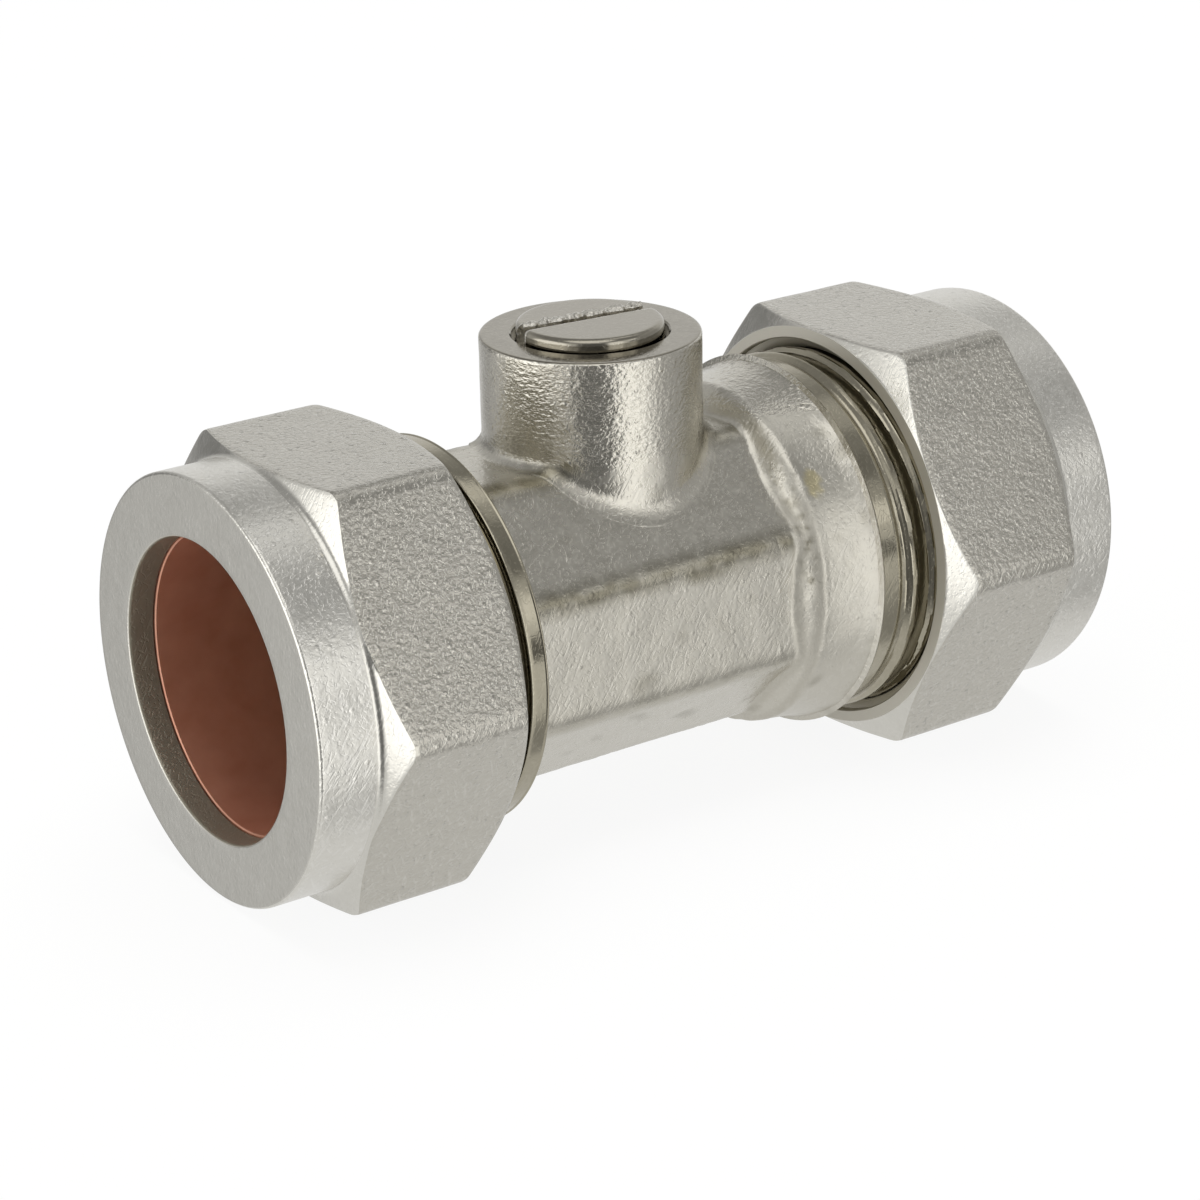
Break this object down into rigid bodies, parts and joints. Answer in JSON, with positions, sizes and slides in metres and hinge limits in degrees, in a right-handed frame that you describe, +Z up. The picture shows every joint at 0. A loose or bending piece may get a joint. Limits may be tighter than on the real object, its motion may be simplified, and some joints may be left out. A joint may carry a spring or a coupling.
{
  "type": "isolating valve",
  "caption": "Quarter-turn ball isolating valve for small copper pipe: plated octagonal body with a slotted stem in its boss, and a hexagonal compression nut and olive at each end.",
  "frame": {"origin": "middle of the base, on the plane that the nuts' lowest flats rest on, halfway between the nuts' faces", "axes": "+X along the pipe towards the longer spigot, +Z up along the stem axis, and +Y to the back"},
  "size_m": [0.049, 0.025, 0.0253],
  "materials": {
    "nickel_plated_brass": "bright nickel plate on forged brass",
    "stem_nickel": "nickel plate on turned brass",
    "chromed_ball": "polished",
    "turned_brass": "as turned",
    "copper": "turned copper",
    "ptfe": "as moulded",
    "nitrile_rubber": "as moulded"
  },
  "bodies": {
    "valve": {"body": "nickel_plated_brass", "seat_left": "ptfe", "seat_right": "ptfe", "seat_retainer": "turned_brass"},
    "spindle": {"stem": "stem_nickel", "ball": "chromed_ball", "stem_o_ring_lower": "nitrile_rubber", "stem_o_ring_upper": "nitrile_rubber", "stem_thrust_washer": "ptfe"},
    "left_olive_group": {"left_olive": "copper"},
    "left_nut_group": {"left_nut": "nickel_plated_brass"},
    "right_olive_group": {"right_olive": "copper"},
    "right_nut_group": {"right_nut": "nickel_plated_brass"}
  },
  "joints": [
    {"name": "stem_turn", "type": "hinge", "parent": "valve", "child": "spindle", "pos_m": [-0.00148, 0, 0.01095], "axis": [0, 0, 1], "continuous": true},
    {"name": "left_nut_travel", "type": "slide", "parent": "valve", "child": "left_olive_group", "axis": [-1, 0, 0], "range_m": [0, 0.00226]},
    {"name": "left_nut_turn", "type": "hinge", "parent": "left_olive_group", "child": "left_nut_group", "pos_m": [0, 0, 0.01095], "axis": [-1, 0, 0], "range_deg": [0, 540]},
    {"name": "right_nut_travel", "type": "slide", "parent": "valve", "child": "right_olive_group", "axis": [1, 0, 0], "range_m": [0, 0.00226]},
    {"name": "right_nut_turn", "type": "hinge", "parent": "right_olive_group", "child": "right_nut_group", "pos_m": [0, 0, 0.01095], "axis": [1, 0, 0], "range_deg": [0, 540]}
  ],
  "couplings": [
    {"joint": "left_nut_travel", "follows": "left_nut_turn", "m_per_rad": 0.00023873},
    {"joint": "right_nut_travel", "follows": "right_nut_turn", "m_per_rad": 0.00023873}
  ]
}
